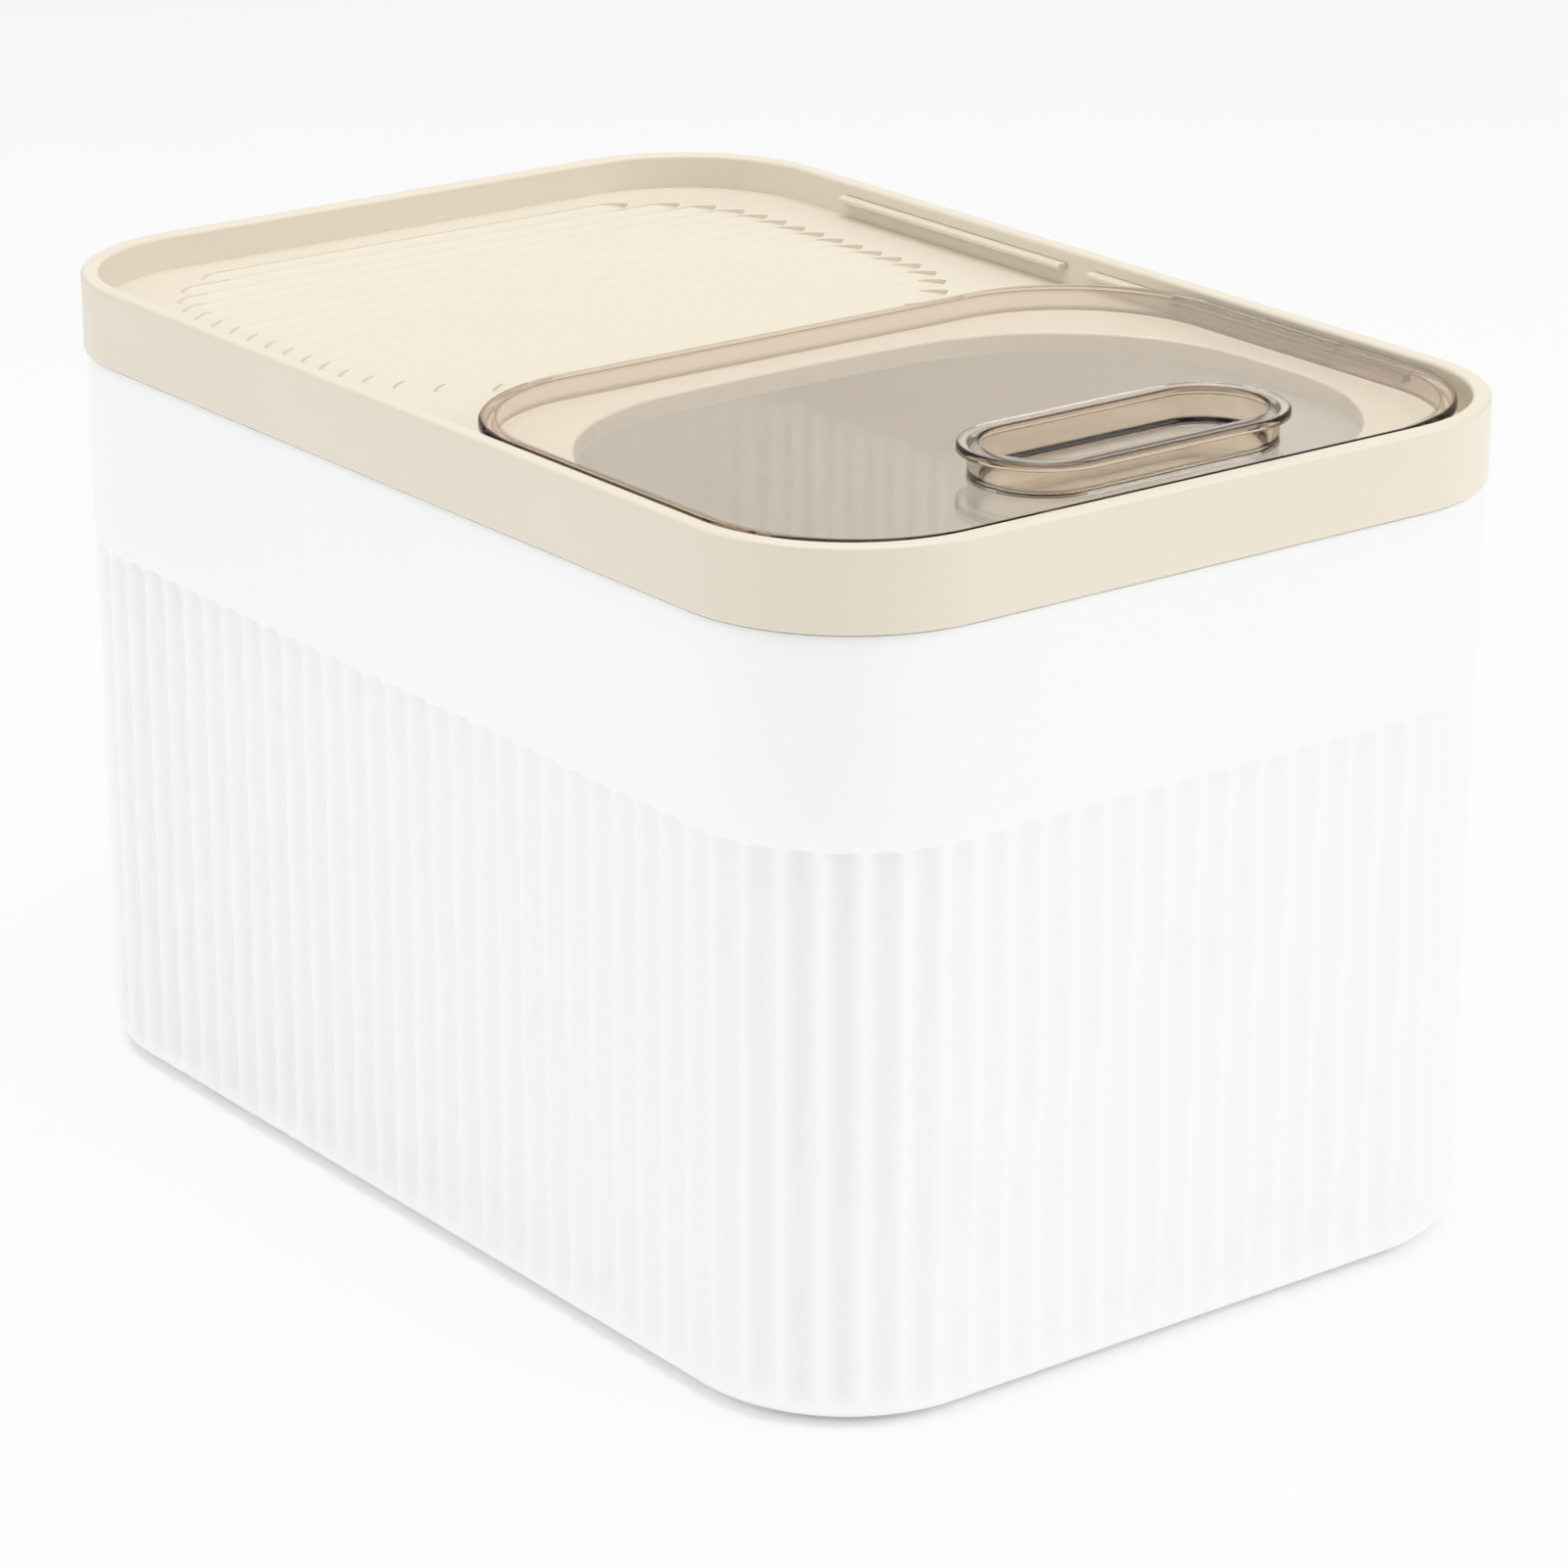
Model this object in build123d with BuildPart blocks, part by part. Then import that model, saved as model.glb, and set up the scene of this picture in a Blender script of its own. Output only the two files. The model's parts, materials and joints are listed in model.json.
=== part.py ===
from build123d import *
import os

# Rice storage bucket: a fluted bucket, a lid that lifts off, and a see-through cover that slides in the lid.
# Millimetres. X runs across, Y runs to the back, Z runs up. The origin is on the floor, under the middle.
os.makedirs("parts", exist_ok=True)

# Overall sizes, at the lid's outside and the top of its rim
lid_width = 220.0
lid_length = 330.0
rim_height = 207.0
lid_corner_radius = 44.0

# Fits
cut_overrun = 2.0
pick_tolerance = 0.01
fixed_clearance = 0.15
lid_clearance = 0.3
slide_clearance = 0.5

# Lid: a band outside, a rim above the sunken deck, a thinner skirt below it
lid_band_height = 19.5
rim_wall = 4.5
rim_edge_radius = 1.0
band_foot_radius = 0.5
deck_drop = 9.0
deck_thickness = 2.2
skirt_wall = 1.8

# Mouth in the front half of the deck: four bowed sides, large corners, a turned-down lip
mouth_side_margin = 12.5
mouth_front_margin = 10.5
mouth_length = 136.0
mouth_long_bow = 7.0
mouth_short_bow = 6.0
mouth_corner_radius = 58.0
mouth_lip_drop = 5.0
mouth_lip_wall = 2.0
mouth_edge_radius = 0.8

# Grooved panel in the rear half of the deck: hollow grooves across it, with arched ends
groove_pitch = 8.2
groove_recess = 0.3
groove_depth = 0.9
groove_side_margin = 16.3
groove_front_gap = 25.5
groove_rear_margin = 9.5
groove_panel_radius = 40.0
groove_end_run = 6.0
groove_end_bulge_share = 0.6

# Guide rails: flat strips let into the rim's long sides, a front and a rear one on each side
rail_reach = 2.8
rail_tenon = 1.5
rail_thickness = 1.6
rail_drop = 3.4
rail_length = 91.0
rail_gap = 11.0
rail_gap_middle = 4.5
rail_edge_chamfer = 0.4

# Gasket ring in a groove under the deck, resting on the bucket's neck
gasket_height = 2.6
gasket_width = 3.0
gasket_groove_depth = 0.8

# Sliding cover: a shallow upside-down tray whose plate laps over the rails, with side flanges that run under them
cover_drop = 1.0
cover_rear_overlap = 9.7
cover_front_gap = 1.8
cover_plate_gap = 1.5
cover_side_gap = 3.3
cover_corner_radius = 42.0
cover_plate = 2.0
cover_wall = 2.2
cover_edge_radius = 1.2
cover_deck_clearance = 0.6
flange_length = 83.0
flange_front_setback = 42.5
flange_thickness = 1.6
flange_clearance = 0.4

# Finger pull let into the cover: a raised collar with a lip, round a shallow well
handle_length = 86.0
handle_width = 38.0
handle_setback = 23.0
handle_rise = 7.6
handle_lip_overhang = 2.5
handle_lip_thickness = 1.8
handle_lip_radius = 0.8
handle_seat_step = 0.8
handle_wall = 1.8
handle_floor = 1.5
handle_well_depth = 0.8
handle_well_radius = 1.5

# Bucket
bucket_inset = 0.8
lid_foot_gap = 0.5
bucket_wall = 3.1
floor_thickness = 3.0
base_edge_radius = 9.0
base_panel_inset = 45.0
base_panel_radius = 15.0
base_panel_depth = 1.0

# Flutes: hollow arcs between ridges, running out at the top against the smooth band
flute_top = 137.5
flute_pitch = 9.1
flute_recess = 0.3
flute_depth = 1.4
flute_run_out = 2.4

# Anti-slip pads in sockets under the base
foot_diameter = 18.0
foot_thickness = 2.5
foot_socket_depth = 1.5
foot_inset = 32.0
foot_chamfer = 0.4

# Levels
base_level = foot_thickness - foot_socket_depth
band_foot_level = rim_height - lid_band_height
shoulder_level = band_foot_level - lid_foot_gap
deck_level = rim_height - deck_drop
deck_underside = deck_level - deck_thickness
neck_level = deck_underside + gasket_groove_depth - gasket_height
rail_level = rim_height - rail_drop - rail_thickness
plate_level = rim_height - cover_drop
plate_underside = plate_level - cover_plate
cover_foot_level = deck_level + cover_deck_clearance

# Plan sizes worked out from the lid's outside
well_width = lid_width - 2 * rim_wall
well_length = lid_length - 2 * rim_wall
well_radius = lid_corner_radius - rim_wall
bucket_width = lid_width - 2 * bucket_inset
bucket_length = lid_length - 2 * bucket_inset
bucket_radius = lid_corner_radius - bucket_inset
neck_inset = skirt_wall + lid_clearance
mouth_width = well_width - 2 * mouth_side_margin
mouth_middle = mouth_front_margin + mouth_length / 2 - well_length / 2
mouth_rear = mouth_middle + mouth_length / 2
groove_panel_width = well_width - 2 * groove_side_margin
groove_panel_front = mouth_rear + groove_front_gap
groove_panel_rear = well_length / 2 - groove_rear_margin
groove_panel_length = groove_panel_rear - groove_panel_front
groove_panel_middle = (groove_panel_front + groove_panel_rear) / 2
groove_count = round(groove_panel_length / groove_pitch)
groove_step = groove_panel_length / groove_count
cover_width = well_width - 2 * cover_plate_gap
skirt_inset = cover_side_gap - cover_plate_gap
cover_front = cover_front_gap - well_length / 2
cover_rear = mouth_rear + cover_rear_overlap
handle_middle = cover_front + handle_setback


def faces_at(piece, level):
    """Faces of a piece whose middles lie at a level."""
    return piece.faces().filter_by_position(Axis.Z, level - pick_tolerance, level + pick_tolerance)


def lid_outline(inset):
    """Rounded rectangle that follows the lid's outside, a given distance inside it."""
    RectangleRounded(lid_width - 2 * inset, lid_length - 2 * inset, lid_corner_radius - inset)


def mouth_outline(growth):
    """The mouth's outline, let out all round by the growth."""
    half_width = mouth_width / 2 + growth
    half_length = mouth_length / 2 + growth
    corner_x = half_width - mouth_short_bow
    corner_y = half_length - mouth_long_bow
    with BuildSketch(mode=Mode.PRIVATE) as mouth:
        with BuildLine():
            ThreePointArc((-corner_x, -corner_y), (0, -half_length), (corner_x, -corner_y))
            ThreePointArc((corner_x, -corner_y), (half_width, 0), (corner_x, corner_y))
            ThreePointArc((corner_x, corner_y), (0, half_length), (-corner_x, corner_y))
            ThreePointArc((-corner_x, corner_y), (-half_width, 0), (-corner_x, -corner_y))
        make_face()
        fillet(mouth.vertices(), mouth_corner_radius + growth)
    with Locations((0, mouth_middle)):
        add(mouth.sketch)


def cover_outline(inset, side_inset):
    """Rounded rectangle that follows the cover's plate, given distances inside its ends and its sides."""
    with Locations((0, (cover_front + cover_rear) / 2)):
        RectangleRounded(
            cover_width - 2 * side_inset,
            cover_rear - cover_front - 2 * inset,
            cover_corner_radius - inset,
        )


def handle_outline(inset):
    """Stadium that follows the finger pull's lip, a given distance inside it."""
    with Locations((0, handle_middle)):
        SlotOverall(handle_length - 2 * inset, handle_width - 2 * inset)


# The ridges lie on a rounded rectangle, spaced evenly from the middle of the front
with BuildSketch() as ridge_border:
    lid_outline(bucket_inset + flute_recess)
ridge_wire = ridge_border.face().outer_wire()
flute_count = 4 * round(ridge_wire.length / flute_pitch / 4)
front_middle_share = ridge_wire.param_at_point((0, flute_recess - bucket_length / 2))


def flute_point(step, growth):
    """Point on the ridge border after a number of flute steps, moved outward by the growth."""
    share = (front_middle_share + step / flute_count) % 1
    heading = ridge_wire.tangent_at(share)
    outward = Vector(heading.Y, -heading.X) * ridge_turn
    return ridge_wire.position_at(share) + outward * growth


def fluted_outline(growth):
    """Closed run of hollow arcs, ridge to ridge, moved outward by the growth."""
    with BuildSketch(mode=Mode.PRIVATE) as flutes:
        with BuildLine():
            for step in range(flute_count):
                ThreePointArc(
                    flute_point(step, growth),
                    flute_point(step + 1 / 2, growth - flute_depth),
                    flute_point(step + 1, growth),
                )
        make_face()
    add(flutes.sketch)


front_heading = ridge_wire.tangent_at(front_middle_share)
ridge_turn = 1 if front_heading.X > 0 else -1

# Body that the flutes leave standing: upright below, flaring out past the band where they run out
with BuildPart() as flute_form:
    with BuildSketch(Plane.XY.offset(base_level)):
        fluted_outline(0)
    with BuildSketch(Plane.XY.offset(flute_top)):
        fluted_outline(0)
    with BuildSketch(Plane.XY.offset(flute_top + flute_run_out)):
        fluted_outline(flute_run_out)
    with BuildSketch(Plane.XY.offset(shoulder_level)):
        fluted_outline(flute_run_out)
    loft(ruled=True)

with BuildPart() as bucket_shell:
    with BuildSketch(Plane.XY.offset(base_level)):
        lid_outline(bucket_inset)
    extrude(amount=shoulder_level - base_level)
    fillet(bucket_shell.faces().sort_by(Axis.Z)[0].edges(), base_edge_radius)
    add(flute_form.part, mode=Mode.INTERSECT)
    with BuildSketch(Plane.XY.offset(shoulder_level)):
        lid_outline(neck_inset)
    extrude(amount=neck_level - shoulder_level)
    with BuildSketch(Plane.XY.offset(base_level + floor_thickness)):
        lid_outline(bucket_inset + bucket_wall)
    cavity = extrude(amount=neck_level + cut_overrun, mode=Mode.PRIVATE)
    cavity_floor_edges = cavity.faces().sort_by(Axis.Z)[0].edges()
    add(cavity.fillet(base_edge_radius - bucket_wall, cavity_floor_edges), mode=Mode.SUBTRACT)
    base_panel_width = bucket_width - 2 * base_panel_inset
    base_panel_length = bucket_length - 2 * base_panel_inset
    with BuildSketch(Plane.XY.offset(base_level)):
        RectangleRounded(base_panel_width, base_panel_length, base_panel_radius)
    extrude(amount=base_panel_depth, mode=Mode.SUBTRACT)
    foot_spacing_x = bucket_width - 2 * foot_inset
    foot_spacing_y = bucket_length - 2 * foot_inset
    with BuildSketch(Plane.XY.offset(base_level)):
        with GridLocations(foot_spacing_x, foot_spacing_y, 2, 2):
            Circle(foot_diameter / 2 + fixed_clearance)
    extrude(amount=foot_socket_depth, mode=Mode.SUBTRACT)
bucket_shell.part.label = "bucket_shell"
export_step(bucket_shell.part, "parts/bucket_shell.step")

foot_places = {
    "foot_pad_front_left": (-foot_spacing_x / 2, -foot_spacing_y / 2),
    "foot_pad_front_right": (foot_spacing_x / 2, -foot_spacing_y / 2),
    "foot_pad_rear_left": (-foot_spacing_x / 2, foot_spacing_y / 2),
    "foot_pad_rear_right": (foot_spacing_x / 2, foot_spacing_y / 2),
}
for foot_name, foot_place in foot_places.items():
    with BuildPart() as foot_pad:
        with BuildSketch():
            with Locations(foot_place):
                Circle(foot_diameter / 2)
        extrude(amount=foot_thickness)
        chamfer(foot_pad.faces().sort_by(Axis.Z)[0].edges(), foot_chamfer)
    foot_pad.part.label = foot_name
    export_step(foot_pad.part, f"parts/{foot_name}.step")

# Grooves side by side along Y, each as long as the rounded panel is wide at its middle
ridge_level = deck_level - groove_recess
groove_floor = ridge_level - groove_depth


def panel_half_width(place):
    """Half the width of the rounded panel at a place along Y."""
    corner_run = max(abs(place - groove_panel_middle) - groove_panel_length / 2 + groove_panel_radius, 0)
    corner_reach = (groove_panel_radius**2 - corner_run**2) ** (1 / 2)
    return groove_panel_width / 2 - groove_panel_radius + corner_reach


with BuildPart() as groove_field:
    with BuildSketch(Plane.XY.offset(groove_floor)):
        for groove in range(groove_count):
            groove_front = groove_panel_front + groove * groove_step
            groove_middle = groove_front + groove_step / 2
            groove_rear = groove_front + groove_step
            tip = panel_half_width(groove_middle)
            shoulder = tip - groove_end_run
            bulge_x = shoulder + groove_end_run * groove_end_bulge_share
            bulge_front = groove_middle - groove_step / 2 * groove_end_bulge_share
            bulge_rear = groove_middle + groove_step / 2 * groove_end_bulge_share
            with BuildLine():
                Line((-shoulder, groove_front), (shoulder, groove_front))
                ThreePointArc((shoulder, groove_front), (bulge_x, bulge_front), (tip, groove_middle))
                ThreePointArc((tip, groove_middle), (bulge_x, bulge_rear), (shoulder, groove_rear))
                Line((shoulder, groove_rear), (-shoulder, groove_rear))
                ThreePointArc((-shoulder, groove_rear), (-bulge_x, bulge_rear), (-tip, groove_middle))
                ThreePointArc((-tip, groove_middle), (-bulge_x, bulge_front), (-shoulder, groove_front))
            make_face()
    extrude(amount=deck_level + cut_overrun - groove_floor)

with BuildPart() as groove_form:
    with BuildSketch(Plane.YZ.offset(-groove_panel_width / 2)):
        with BuildLine():
            for groove in range(groove_count):
                groove_front = groove_panel_front + groove * groove_step
                ThreePointArc(
                    (groove_front, ridge_level),
                    (groove_front + groove_step / 2, groove_floor),
                    (groove_front + groove_step, ridge_level),
                )
            Polyline(
                (groove_panel_rear, ridge_level),
                (groove_panel_rear, deck_level + cut_overrun),
                (groove_panel_front, deck_level + cut_overrun),
                (groove_panel_front, ridge_level),
            )
        make_face()
    extrude(amount=groove_panel_width)
    add(groove_field.part, mode=Mode.INTERSECT)

rail_middles = {
    "front": rail_gap_middle - (rail_gap + rail_length) / 2,
    "rear": rail_gap_middle + (rail_gap + rail_length) / 2,
}
rail_sides = {"left": -1, "right": 1}
rail_width = rail_reach + rail_tenon
rail_offset = well_width / 2 + rail_tenon - rail_width / 2

with BuildPart() as lid_shell:
    with BuildSketch(Plane.XY.offset(band_foot_level)):
        lid_outline(0)
    extrude(amount=lid_band_height)
    with BuildSketch(Plane.XY.offset(deck_level)):
        lid_outline(rim_wall)
    extrude(amount=deck_drop, mode=Mode.SUBTRACT)
    with BuildSketch(Plane.XY.offset(band_foot_level)):
        lid_outline(skirt_wall)
    extrude(amount=deck_underside - band_foot_level, mode=Mode.SUBTRACT)
    fillet(lid_shell.faces().sort_by(Axis.Z)[-1].edges(), rim_edge_radius)
    fillet(lid_shell.faces().sort_by(Axis.Z)[0].outer_wire().edges(), band_foot_radius)
    with BuildSketch(Plane.XY.offset(deck_level - mouth_lip_drop)):
        mouth_outline(mouth_lip_wall)
    extrude(amount=mouth_lip_drop - deck_thickness)
    with BuildSketch(Plane.XY.offset(deck_level - mouth_lip_drop)):
        mouth_outline(0)
    extrude(amount=mouth_lip_drop, mode=Mode.SUBTRACT)
    deck_face = faces_at(lid_shell, deck_level).sort_by(SortBy.AREA)[-1]
    fillet(deck_face.inner_wires()[0].edges(), mouth_edge_radius)
    add(groove_form.part, mode=Mode.SUBTRACT)
    with BuildSketch(Plane.XY.offset(deck_underside)):
        lid_outline(neck_inset - fixed_clearance)
        with BuildSketch(mode=Mode.SUBTRACT):
            lid_outline(neck_inset + gasket_width + fixed_clearance)
    extrude(amount=gasket_groove_depth, mode=Mode.SUBTRACT)
    with BuildSketch(Plane.XY.offset(rail_level)):
        for middle in rail_middles.values():
            for side in rail_sides.values():
                with Locations((side * rail_offset, middle)):
                    Rectangle(rail_width, rail_length + 2 * fixed_clearance)
    extrude(amount=rail_thickness + fixed_clearance, mode=Mode.SUBTRACT)
lid_shell.part.label = "lid_shell"
export_step(lid_shell.part, "parts/lid_shell.step")

with BuildPart() as lid_gasket:
    with BuildSketch(Plane.XY.offset(neck_level)):
        lid_outline(neck_inset)
        with BuildSketch(mode=Mode.SUBTRACT):
            lid_outline(neck_inset + gasket_width)
    extrude(amount=gasket_height)
lid_gasket.part.label = "lid_gasket"
export_step(lid_gasket.part, "parts/lid_gasket.step")

for end, middle in rail_middles.items():
    for hand, side in rail_sides.items():
        rail_name = f"rail_{end}_{hand}"
        with BuildPart() as rail:
            with BuildSketch(Plane.XY.offset(rail_level)):
                with Locations((side * rail_offset, middle)):
                    Rectangle(rail_width, rail_length)
            extrude(amount=rail_thickness)
            lip_edges = rail.edges().filter_by(Axis.Y).sort_by(Axis.X)
            chamfer(lip_edges[:2] if side > 0 else lip_edges[-2:], rail_edge_chamfer)
        rail.part.label = rail_name
        export_step(rail.part, f"parts/{rail_name}.step")

with BuildPart() as slide_cover:
    with BuildSketch(Plane.XY.offset(cover_foot_level)):
        cover_outline(0, skirt_inset)
    extrude(amount=plate_underside - cover_foot_level)
    with BuildSketch(Plane.XY.offset(plate_underside)):
        cover_outline(0, 0)
    extrude(amount=cover_plate)
    fillet(slide_cover.faces().sort_by(Axis.Z)[-1].edges(), cover_edge_radius)
    with BuildSketch(Plane.XY.offset(cover_foot_level)):
        cover_outline(cover_wall, skirt_inset + cover_wall)
    extrude(amount=plate_underside - cover_foot_level, mode=Mode.SUBTRACT)
    flange_foot = rail_level - flange_clearance - flange_thickness
    flange_inner = cover_width / 2 - skirt_inset - cover_wall
    flange_outer = well_width / 2 - slide_clearance
    flange_middle = flange_front_setback + flange_length / 2 - well_length / 2
    with BuildSketch(Plane.XY.offset(flange_foot)):
        for side in rail_sides.values():
            with Locations((side * (flange_inner + flange_outer) / 2, flange_middle)):
                Rectangle(flange_outer - flange_inner, flange_length)
    extrude(amount=flange_thickness)
    with BuildSketch(Plane.XY.offset(plate_underside)):
        handle_outline(handle_lip_overhang + handle_seat_step - fixed_clearance)
    extrude(amount=cover_plate, mode=Mode.SUBTRACT)
slide_cover.part.label = "slide_cover"
export_step(slide_cover.part, "parts/slide_cover.step")

with BuildPart() as cover_handle:
    well_floor_level = plate_level - handle_well_depth
    handle_top = plate_level + handle_rise
    well_inset = handle_lip_overhang + handle_seat_step + handle_wall
    with BuildSketch(Plane.XY.offset(well_floor_level - handle_floor)):
        handle_outline(handle_lip_overhang + handle_seat_step)
    extrude(amount=handle_floor + handle_well_depth)
    with BuildSketch(Plane.XY.offset(plate_level)):
        handle_outline(handle_lip_overhang)
    extrude(amount=handle_rise)
    with BuildSketch(Plane.XY.offset(handle_top - handle_lip_thickness)):
        handle_outline(0)
    extrude(amount=handle_lip_thickness)
    with BuildSketch(Plane.XY.offset(well_floor_level)):
        handle_outline(well_inset)
    extrude(amount=handle_well_depth + handle_rise, mode=Mode.SUBTRACT)
    fillet(cover_handle.faces().sort_by(Axis.Z)[-1].edges(), handle_lip_radius)
    fillet(faces_at(cover_handle, well_floor_level).edges(), handle_well_radius)
cover_handle.part.label = "cover_handle"
export_step(cover_handle.part, "parts/cover_handle.step")
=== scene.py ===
import json
import math

import bpy
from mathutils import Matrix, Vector

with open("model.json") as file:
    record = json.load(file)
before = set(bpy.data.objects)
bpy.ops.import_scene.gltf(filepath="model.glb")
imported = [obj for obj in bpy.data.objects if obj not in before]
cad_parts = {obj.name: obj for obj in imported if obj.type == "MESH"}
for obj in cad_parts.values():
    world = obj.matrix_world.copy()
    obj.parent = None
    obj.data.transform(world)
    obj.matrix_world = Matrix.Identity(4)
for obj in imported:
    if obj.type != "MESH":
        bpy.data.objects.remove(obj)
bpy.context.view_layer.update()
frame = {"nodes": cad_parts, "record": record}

nodes = frame["nodes"]
scene = bpy.context.scene

MM = 0.001

# Satin plastic
GRAIN_RELIEF_MM = 0.05
GRAIN_STRENGTH = 0.12
SATIN_SPREAD = 0.05
WARM_STRAY = (1.0, 0.85, 0.7)    # red light strays furthest through white plastic

# Clear plastic
WAVE_RELIEF_MM = 0.1
WAVE_STRENGTH = 0.1
DULLEST_POLISH = 0.04
# Slopes where the darkest painted edge shade sits on the clear plastic
PAINTED_EDGE_SLOPES = (0.35, 0.97)    # from steep to nearly level, as the upward share of the surface's normal
BEVEL_SAMPLES = 8


def linear(hex_colour):
    """sRGB hex to the linear colour that the shaders use."""
    parts = [int(hex_colour[i:i + 2], 16) / 255 for i in (0, 2, 4)]
    curve = [c / 12.92 if c <= 0.04045 else ((c + 0.055) / 1.055) ** 2.4 for c in parts]
    return (*curve, 1.0)


def add_node(tree, kind, settings=None, inputs=None):
    """Adds a node, sets its settings, and sets its inputs or links them to other nodes' outputs."""
    node = tree.nodes.new(kind)
    for name, value in (settings or {}).items():
        setattr(node, name, value)
    for name, value in (inputs or {}).items():
        if isinstance(value, bpy.types.NodeSocket):
            tree.links.new(value, node.inputs[name])
        else:
            node.inputs[name].default_value = value
    return node


def new_material(name):
    """Material with an empty node tree."""
    material = bpy.data.materials.new(name)
    material.use_nodes = True
    material.node_tree.nodes.clear()
    return material, material.node_tree


def moulded_plastic(name, base, shade, roughness, ior, glow=0.0, glow_mm=8, grain_mm=1.2, flow_mm=60):
    """Injection-moulded plastic: satin, with the mould's fine eroded grain.

    Where the melt flowed it is faintly cloudy. The real grain is about 0.2 mm, too fine to show, so it is
    drawn coarser. A thin pale wall glows a little, because light strays through it.
    """
    material, tree = new_material(name)
    place = add_node(tree, "ShaderNodeTexCoord").outputs["Object"]
    grain = add_node(tree, "ShaderNodeTexNoise", None,
                     {"Vector": place, "Scale": 1 / (grain_mm * MM), "Detail": 2.0}).outputs["Fac"]
    flow = add_node(tree, "ShaderNodeTexNoise", None,
                    {"Vector": place, "Scale": 1 / (flow_mm * MM), "Detail": 2.0}).outputs["Fac"]
    colour = add_node(tree, "ShaderNodeValToRGB", None, {"Fac": flow})
    colour.color_ramp.elements[0].color = linear(base)
    colour.color_ramp.elements[1].color = linear(shade)
    satin = add_node(tree, "ShaderNodeMapRange", None,
                     {"Value": grain, "To Min": roughness - SATIN_SPREAD,
                      "To Max": roughness + SATIN_SPREAD}).outputs[0]
    relief = add_node(tree, "ShaderNodeBump", None,
                      {"Strength": GRAIN_STRENGTH, "Distance": GRAIN_RELIEF_MM * MM,
                       "Height": grain}).outputs[0]
    shader = add_node(tree, "ShaderNodeBsdfPrincipled", None,
                      {"Base Color": colour.outputs[0], "Roughness": satin, "IOR": ior, "Normal": relief,
                       "Subsurface Weight": glow, "Subsurface Radius": WARM_STRAY,
                       "Subsurface Scale": glow_mm * MM})
    add_node(tree, "ShaderNodeOutputMaterial", None, {"Surface": shader.outputs[0]})
    return material


def smoke_plastic(name, tint, density, ior, painted_wall_shade, painted_edge_shade, painted_edge_mm,
                  wave_mm=35, polish_mm=6):
    """Polished clear styrene with a brown-grey tint: glassy, with the faint waviness of a moulded plate.

    The tint is in the bulk, so the plate is pale. Its colour is also painted browner by the slope of
    the surface: painted shade on the upright walls, and darker painted shade on the edges between,
    standing in for light that has run a long way inside the plastic there. The index is below a real
    styrene's, which keeps the plate clear at a low angle.
    """
    material, tree = new_material(name)
    place = add_node(tree, "ShaderNodeTexCoord").outputs["Object"]
    wave = add_node(tree, "ShaderNodeTexNoise", None,
                    {"Vector": place, "Scale": 1 / (wave_mm * MM), "Detail": 1.0}).outputs["Fac"]
    polish = add_node(tree, "ShaderNodeTexNoise", None,
                      {"Vector": place, "Scale": 1 / (polish_mm * MM), "Detail": 3.0}).outputs["Fac"]
    gloss = add_node(tree, "ShaderNodeMapRange", None,
                     {"Value": polish, "To Min": 0.0, "To Max": DULLEST_POLISH}).outputs[0]
    relief = add_node(tree, "ShaderNodeBump", None,
                      {"Strength": WAVE_STRENGTH, "Distance": WAVE_RELIEF_MM * MM,
                       "Height": wave}).outputs[0]
    # Painted shade: colour by the slope of the smoothed surface, brown on walls and darkest on the edges
    facing = add_node(tree, "ShaderNodeBevel", {"samples": BEVEL_SAMPLES},
                      {"Radius": painted_edge_mm * MM}).outputs[0]
    upward = add_node(tree, "ShaderNodeSeparateXYZ", None, {"Vector": facing}).outputs["Z"]
    slope = add_node(tree, "ShaderNodeMath", {"operation": "ABSOLUTE"}, {0: upward}).outputs[0]
    brown = add_node(tree, "ShaderNodeValToRGB", None, {"Fac": slope})
    ramp = brown.color_ramp.elements
    ramp[0].color = linear(painted_wall_shade)
    ramp[1].color = linear("FFFFFF")
    for painted_edge_slope in PAINTED_EDGE_SLOPES:
        ramp.new(painted_edge_slope).color = linear(painted_edge_shade)
    shader = add_node(tree, "ShaderNodeBsdfPrincipled", None,
                      {"Base Color": brown.outputs[0], "Roughness": gloss, "IOR": ior,
                       "Transmission Weight": 1.0, "Normal": relief})
    bulk = add_node(tree, "ShaderNodeVolumeAbsorption", None, {"Color": linear(tint), "Density": density})
    add_node(tree, "ShaderNodeOutputMaterial", None,
             {"Surface": shader.outputs[0], "Volume": bulk.outputs[0]})
    return material


finishes = {
    # Satin white that lets a little light through its thin wall
    "bucket_white": moulded_plastic("white_polypropylene", base="EEEEED", shade="EAEAE8",
                                    roughness=0.36, ior=1.49, glow=0.7),
    # Warm satin cream
    "lid_cream": moulded_plastic("cream_polypropylene", base="D4CBB9", shade="D0C7B5",
                                 roughness=0.34, ior=1.49),
    # Soft, dull, milky
    "gasket_silicone": moulded_plastic("milky_silicone", base="E6E3DC", shade="DEDBD3",
                                       roughness=0.50, ior=1.41),
    # Clear pale plate; painted brown shade on its walls, a darker painted line round its edges
    "cover_smoke": smoke_plastic("smoke_styrene_cover", tint="D0AE80", density=30.0, ior=1.25,
                                 painted_wall_shade="E6DDCE", painted_edge_shade="94826E", painted_edge_mm=1.8),
    # Clearer still, outlined in darker brown painted shade on its edges
    "handle_smoke": smoke_plastic("smoke_styrene_pull", tint="CDB594", density=35.0, ior=1.40,
                                  painted_wall_shade="F8F0E2", painted_edge_shade="7A6A5A", painted_edge_mm=0.8),
    # Matt pale grey
    "pad_rubber": moulded_plastic("pale_rubber", base="D8D6D0", shade="CFCDC6",
                                  roughness=0.70, ior=1.52),
}
for part in frame["record"]["subparts"]:
    surface = nodes[part["node"]].data
    surface.materials.clear()
    surface.materials.append(finishes[part["material_slot"]])

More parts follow.
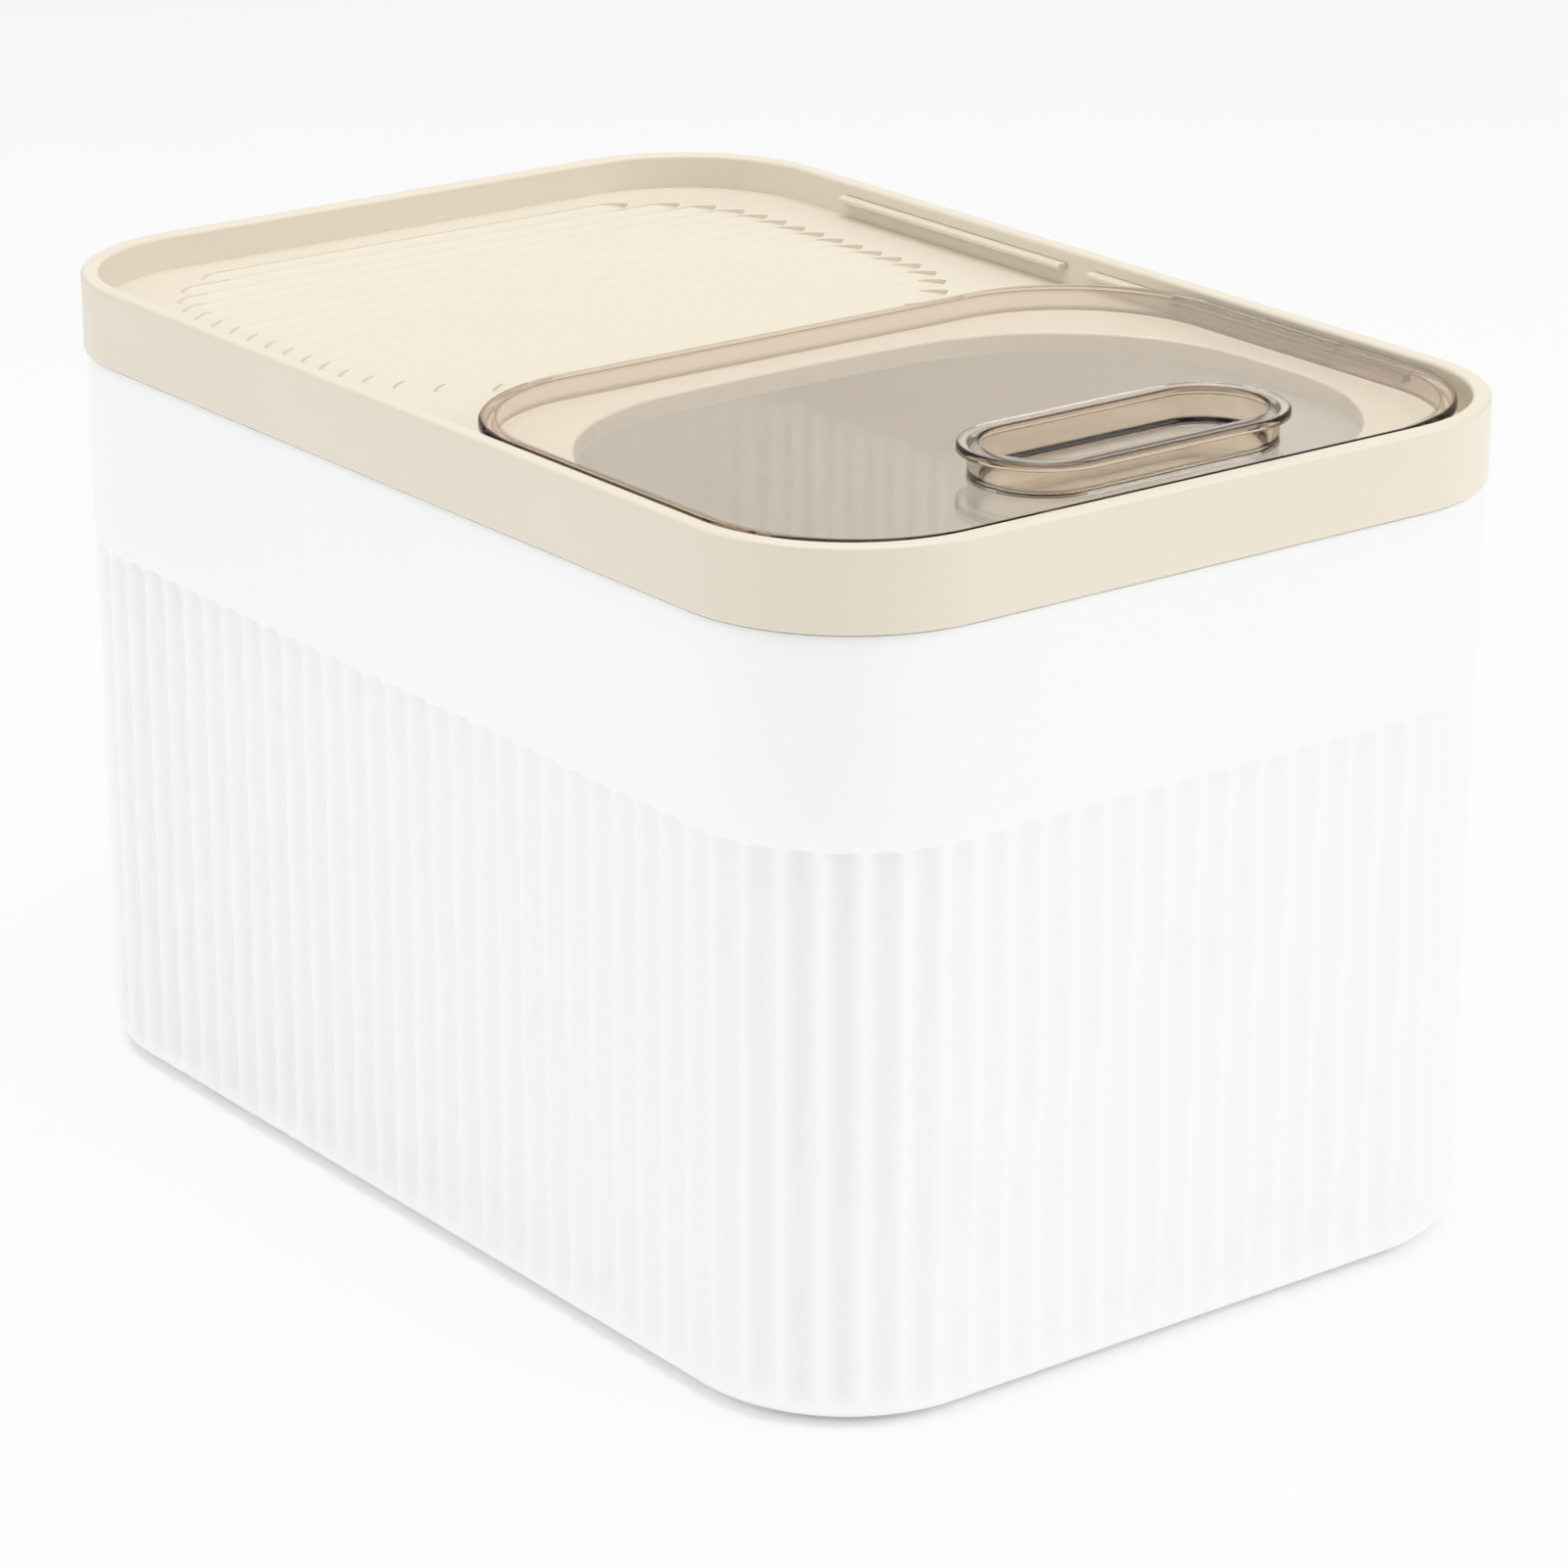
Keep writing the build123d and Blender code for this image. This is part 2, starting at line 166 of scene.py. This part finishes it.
# Plain pale floor
FLOOR_SIZE = 12
bpy.ops.mesh.primitive_plane_add(size=FLOOR_SIZE, location=(0, 0, 0))
floor = bpy.context.object
floor.name = "floor"
floor.data.materials.append(moulded_plastic("pale_floor", base="FFFFFF", shade="FDFDFD",
                                            roughness=0.90, ior=1.45))

LIGHT_TARGET = Vector((0, 0, 0.1))


def softbox(name, place, size, power, colour="FFFFFF"):
    """Large square soft light that points at the object."""
    data = bpy.data.lights.new(name, "AREA")
    data.shape = "SQUARE"
    data.size = size
    data.energy = power
    data.color = linear(colour)[:3]
    light = bpy.data.objects.new(name, data)
    light.location = place
    light.rotation_euler = (LIGHT_TARGET - Vector(place)).to_track_quat("-Z", "Y").to_euler()
    scene.collection.objects.link(light)
    return light


softbox("front_softbox", (1.3, -1.7, 1.1), size=1.6, power=22.2)
softbox("side_softbox", (-1.9, 0.8, 1.0), size=1.6, power=12.0)
softbox("top_softbox", (0.0, 0.0, 2.2), size=2.0, power=37.5)
softbox("fill_softbox", (-1.3, -1.7, 1.2), size=1.6, power=5.8)

# Warm white card behind the object: it shows only in reflections, as a sheen on the polished cover
sheen_card = softbox("sheen_card", (1.5, 1.9, 1.0), size=1.8, power=5.0, colour="FFE6C8")
sheen_card.visible_diffuse = False

# Even light from a white room
ROOM_LIGHT = 0.465
world = bpy.data.worlds.new("studio")
scene.world = world
world.use_nodes = True
room = world.node_tree.nodes["Background"].inputs
room["Color"].default_value = linear("FFFFFF")
room["Strength"].default_value = ROOM_LIGHT

# Light has to pass the clear cover twice and bounce often inside the white bucket
scene.cycles.max_bounces = 24
scene.cycles.diffuse_bounces = 16
scene.cycles.transmission_bounces = 24
scene.cycles.blur_glossy = 0.0

# Whites roll off gently, so that white plastic and white floor keep their shading
WHITE_SHOULDER = [(0.8, 0.8), (0.95, 0.92), (1.15, 0.965), (1.6, 1.0)]
view = scene.view_settings
view.view_transform = "Standard"
view.look = "None"
view.use_curve_mapping = True
view.curve_mapping.clip_max_x = WHITE_SHOULDER[-1][0]
tone = view.curve_mapping.curves[3]
tone.points[-1].location = WHITE_SHOULDER[-1]
for knee in WHITE_SHOULDER[:-1]:
    tone.points.new(*knee)
view.curve_mapping.update()

CAMERA_PLACE = (-0.7564, -1.0078, 0.5455)
CAMERA_AZIMUTH = math.radians(-37.18)
CAMERA_ELEVATION = math.radians(19.91)
SENSOR_MM = 36
LENS_MM = 123.97
camera_data = bpy.data.cameras.new("camera")
camera_data.sensor_width = SENSOR_MM
camera_data.lens = LENS_MM
camera = bpy.data.objects.new("camera", camera_data)
camera.location = CAMERA_PLACE
camera.rotation_euler = (math.pi / 2 - CAMERA_ELEVATION, 0, CAMERA_AZIMUTH)
scene.collection.objects.link(camera)
scene.camera = camera
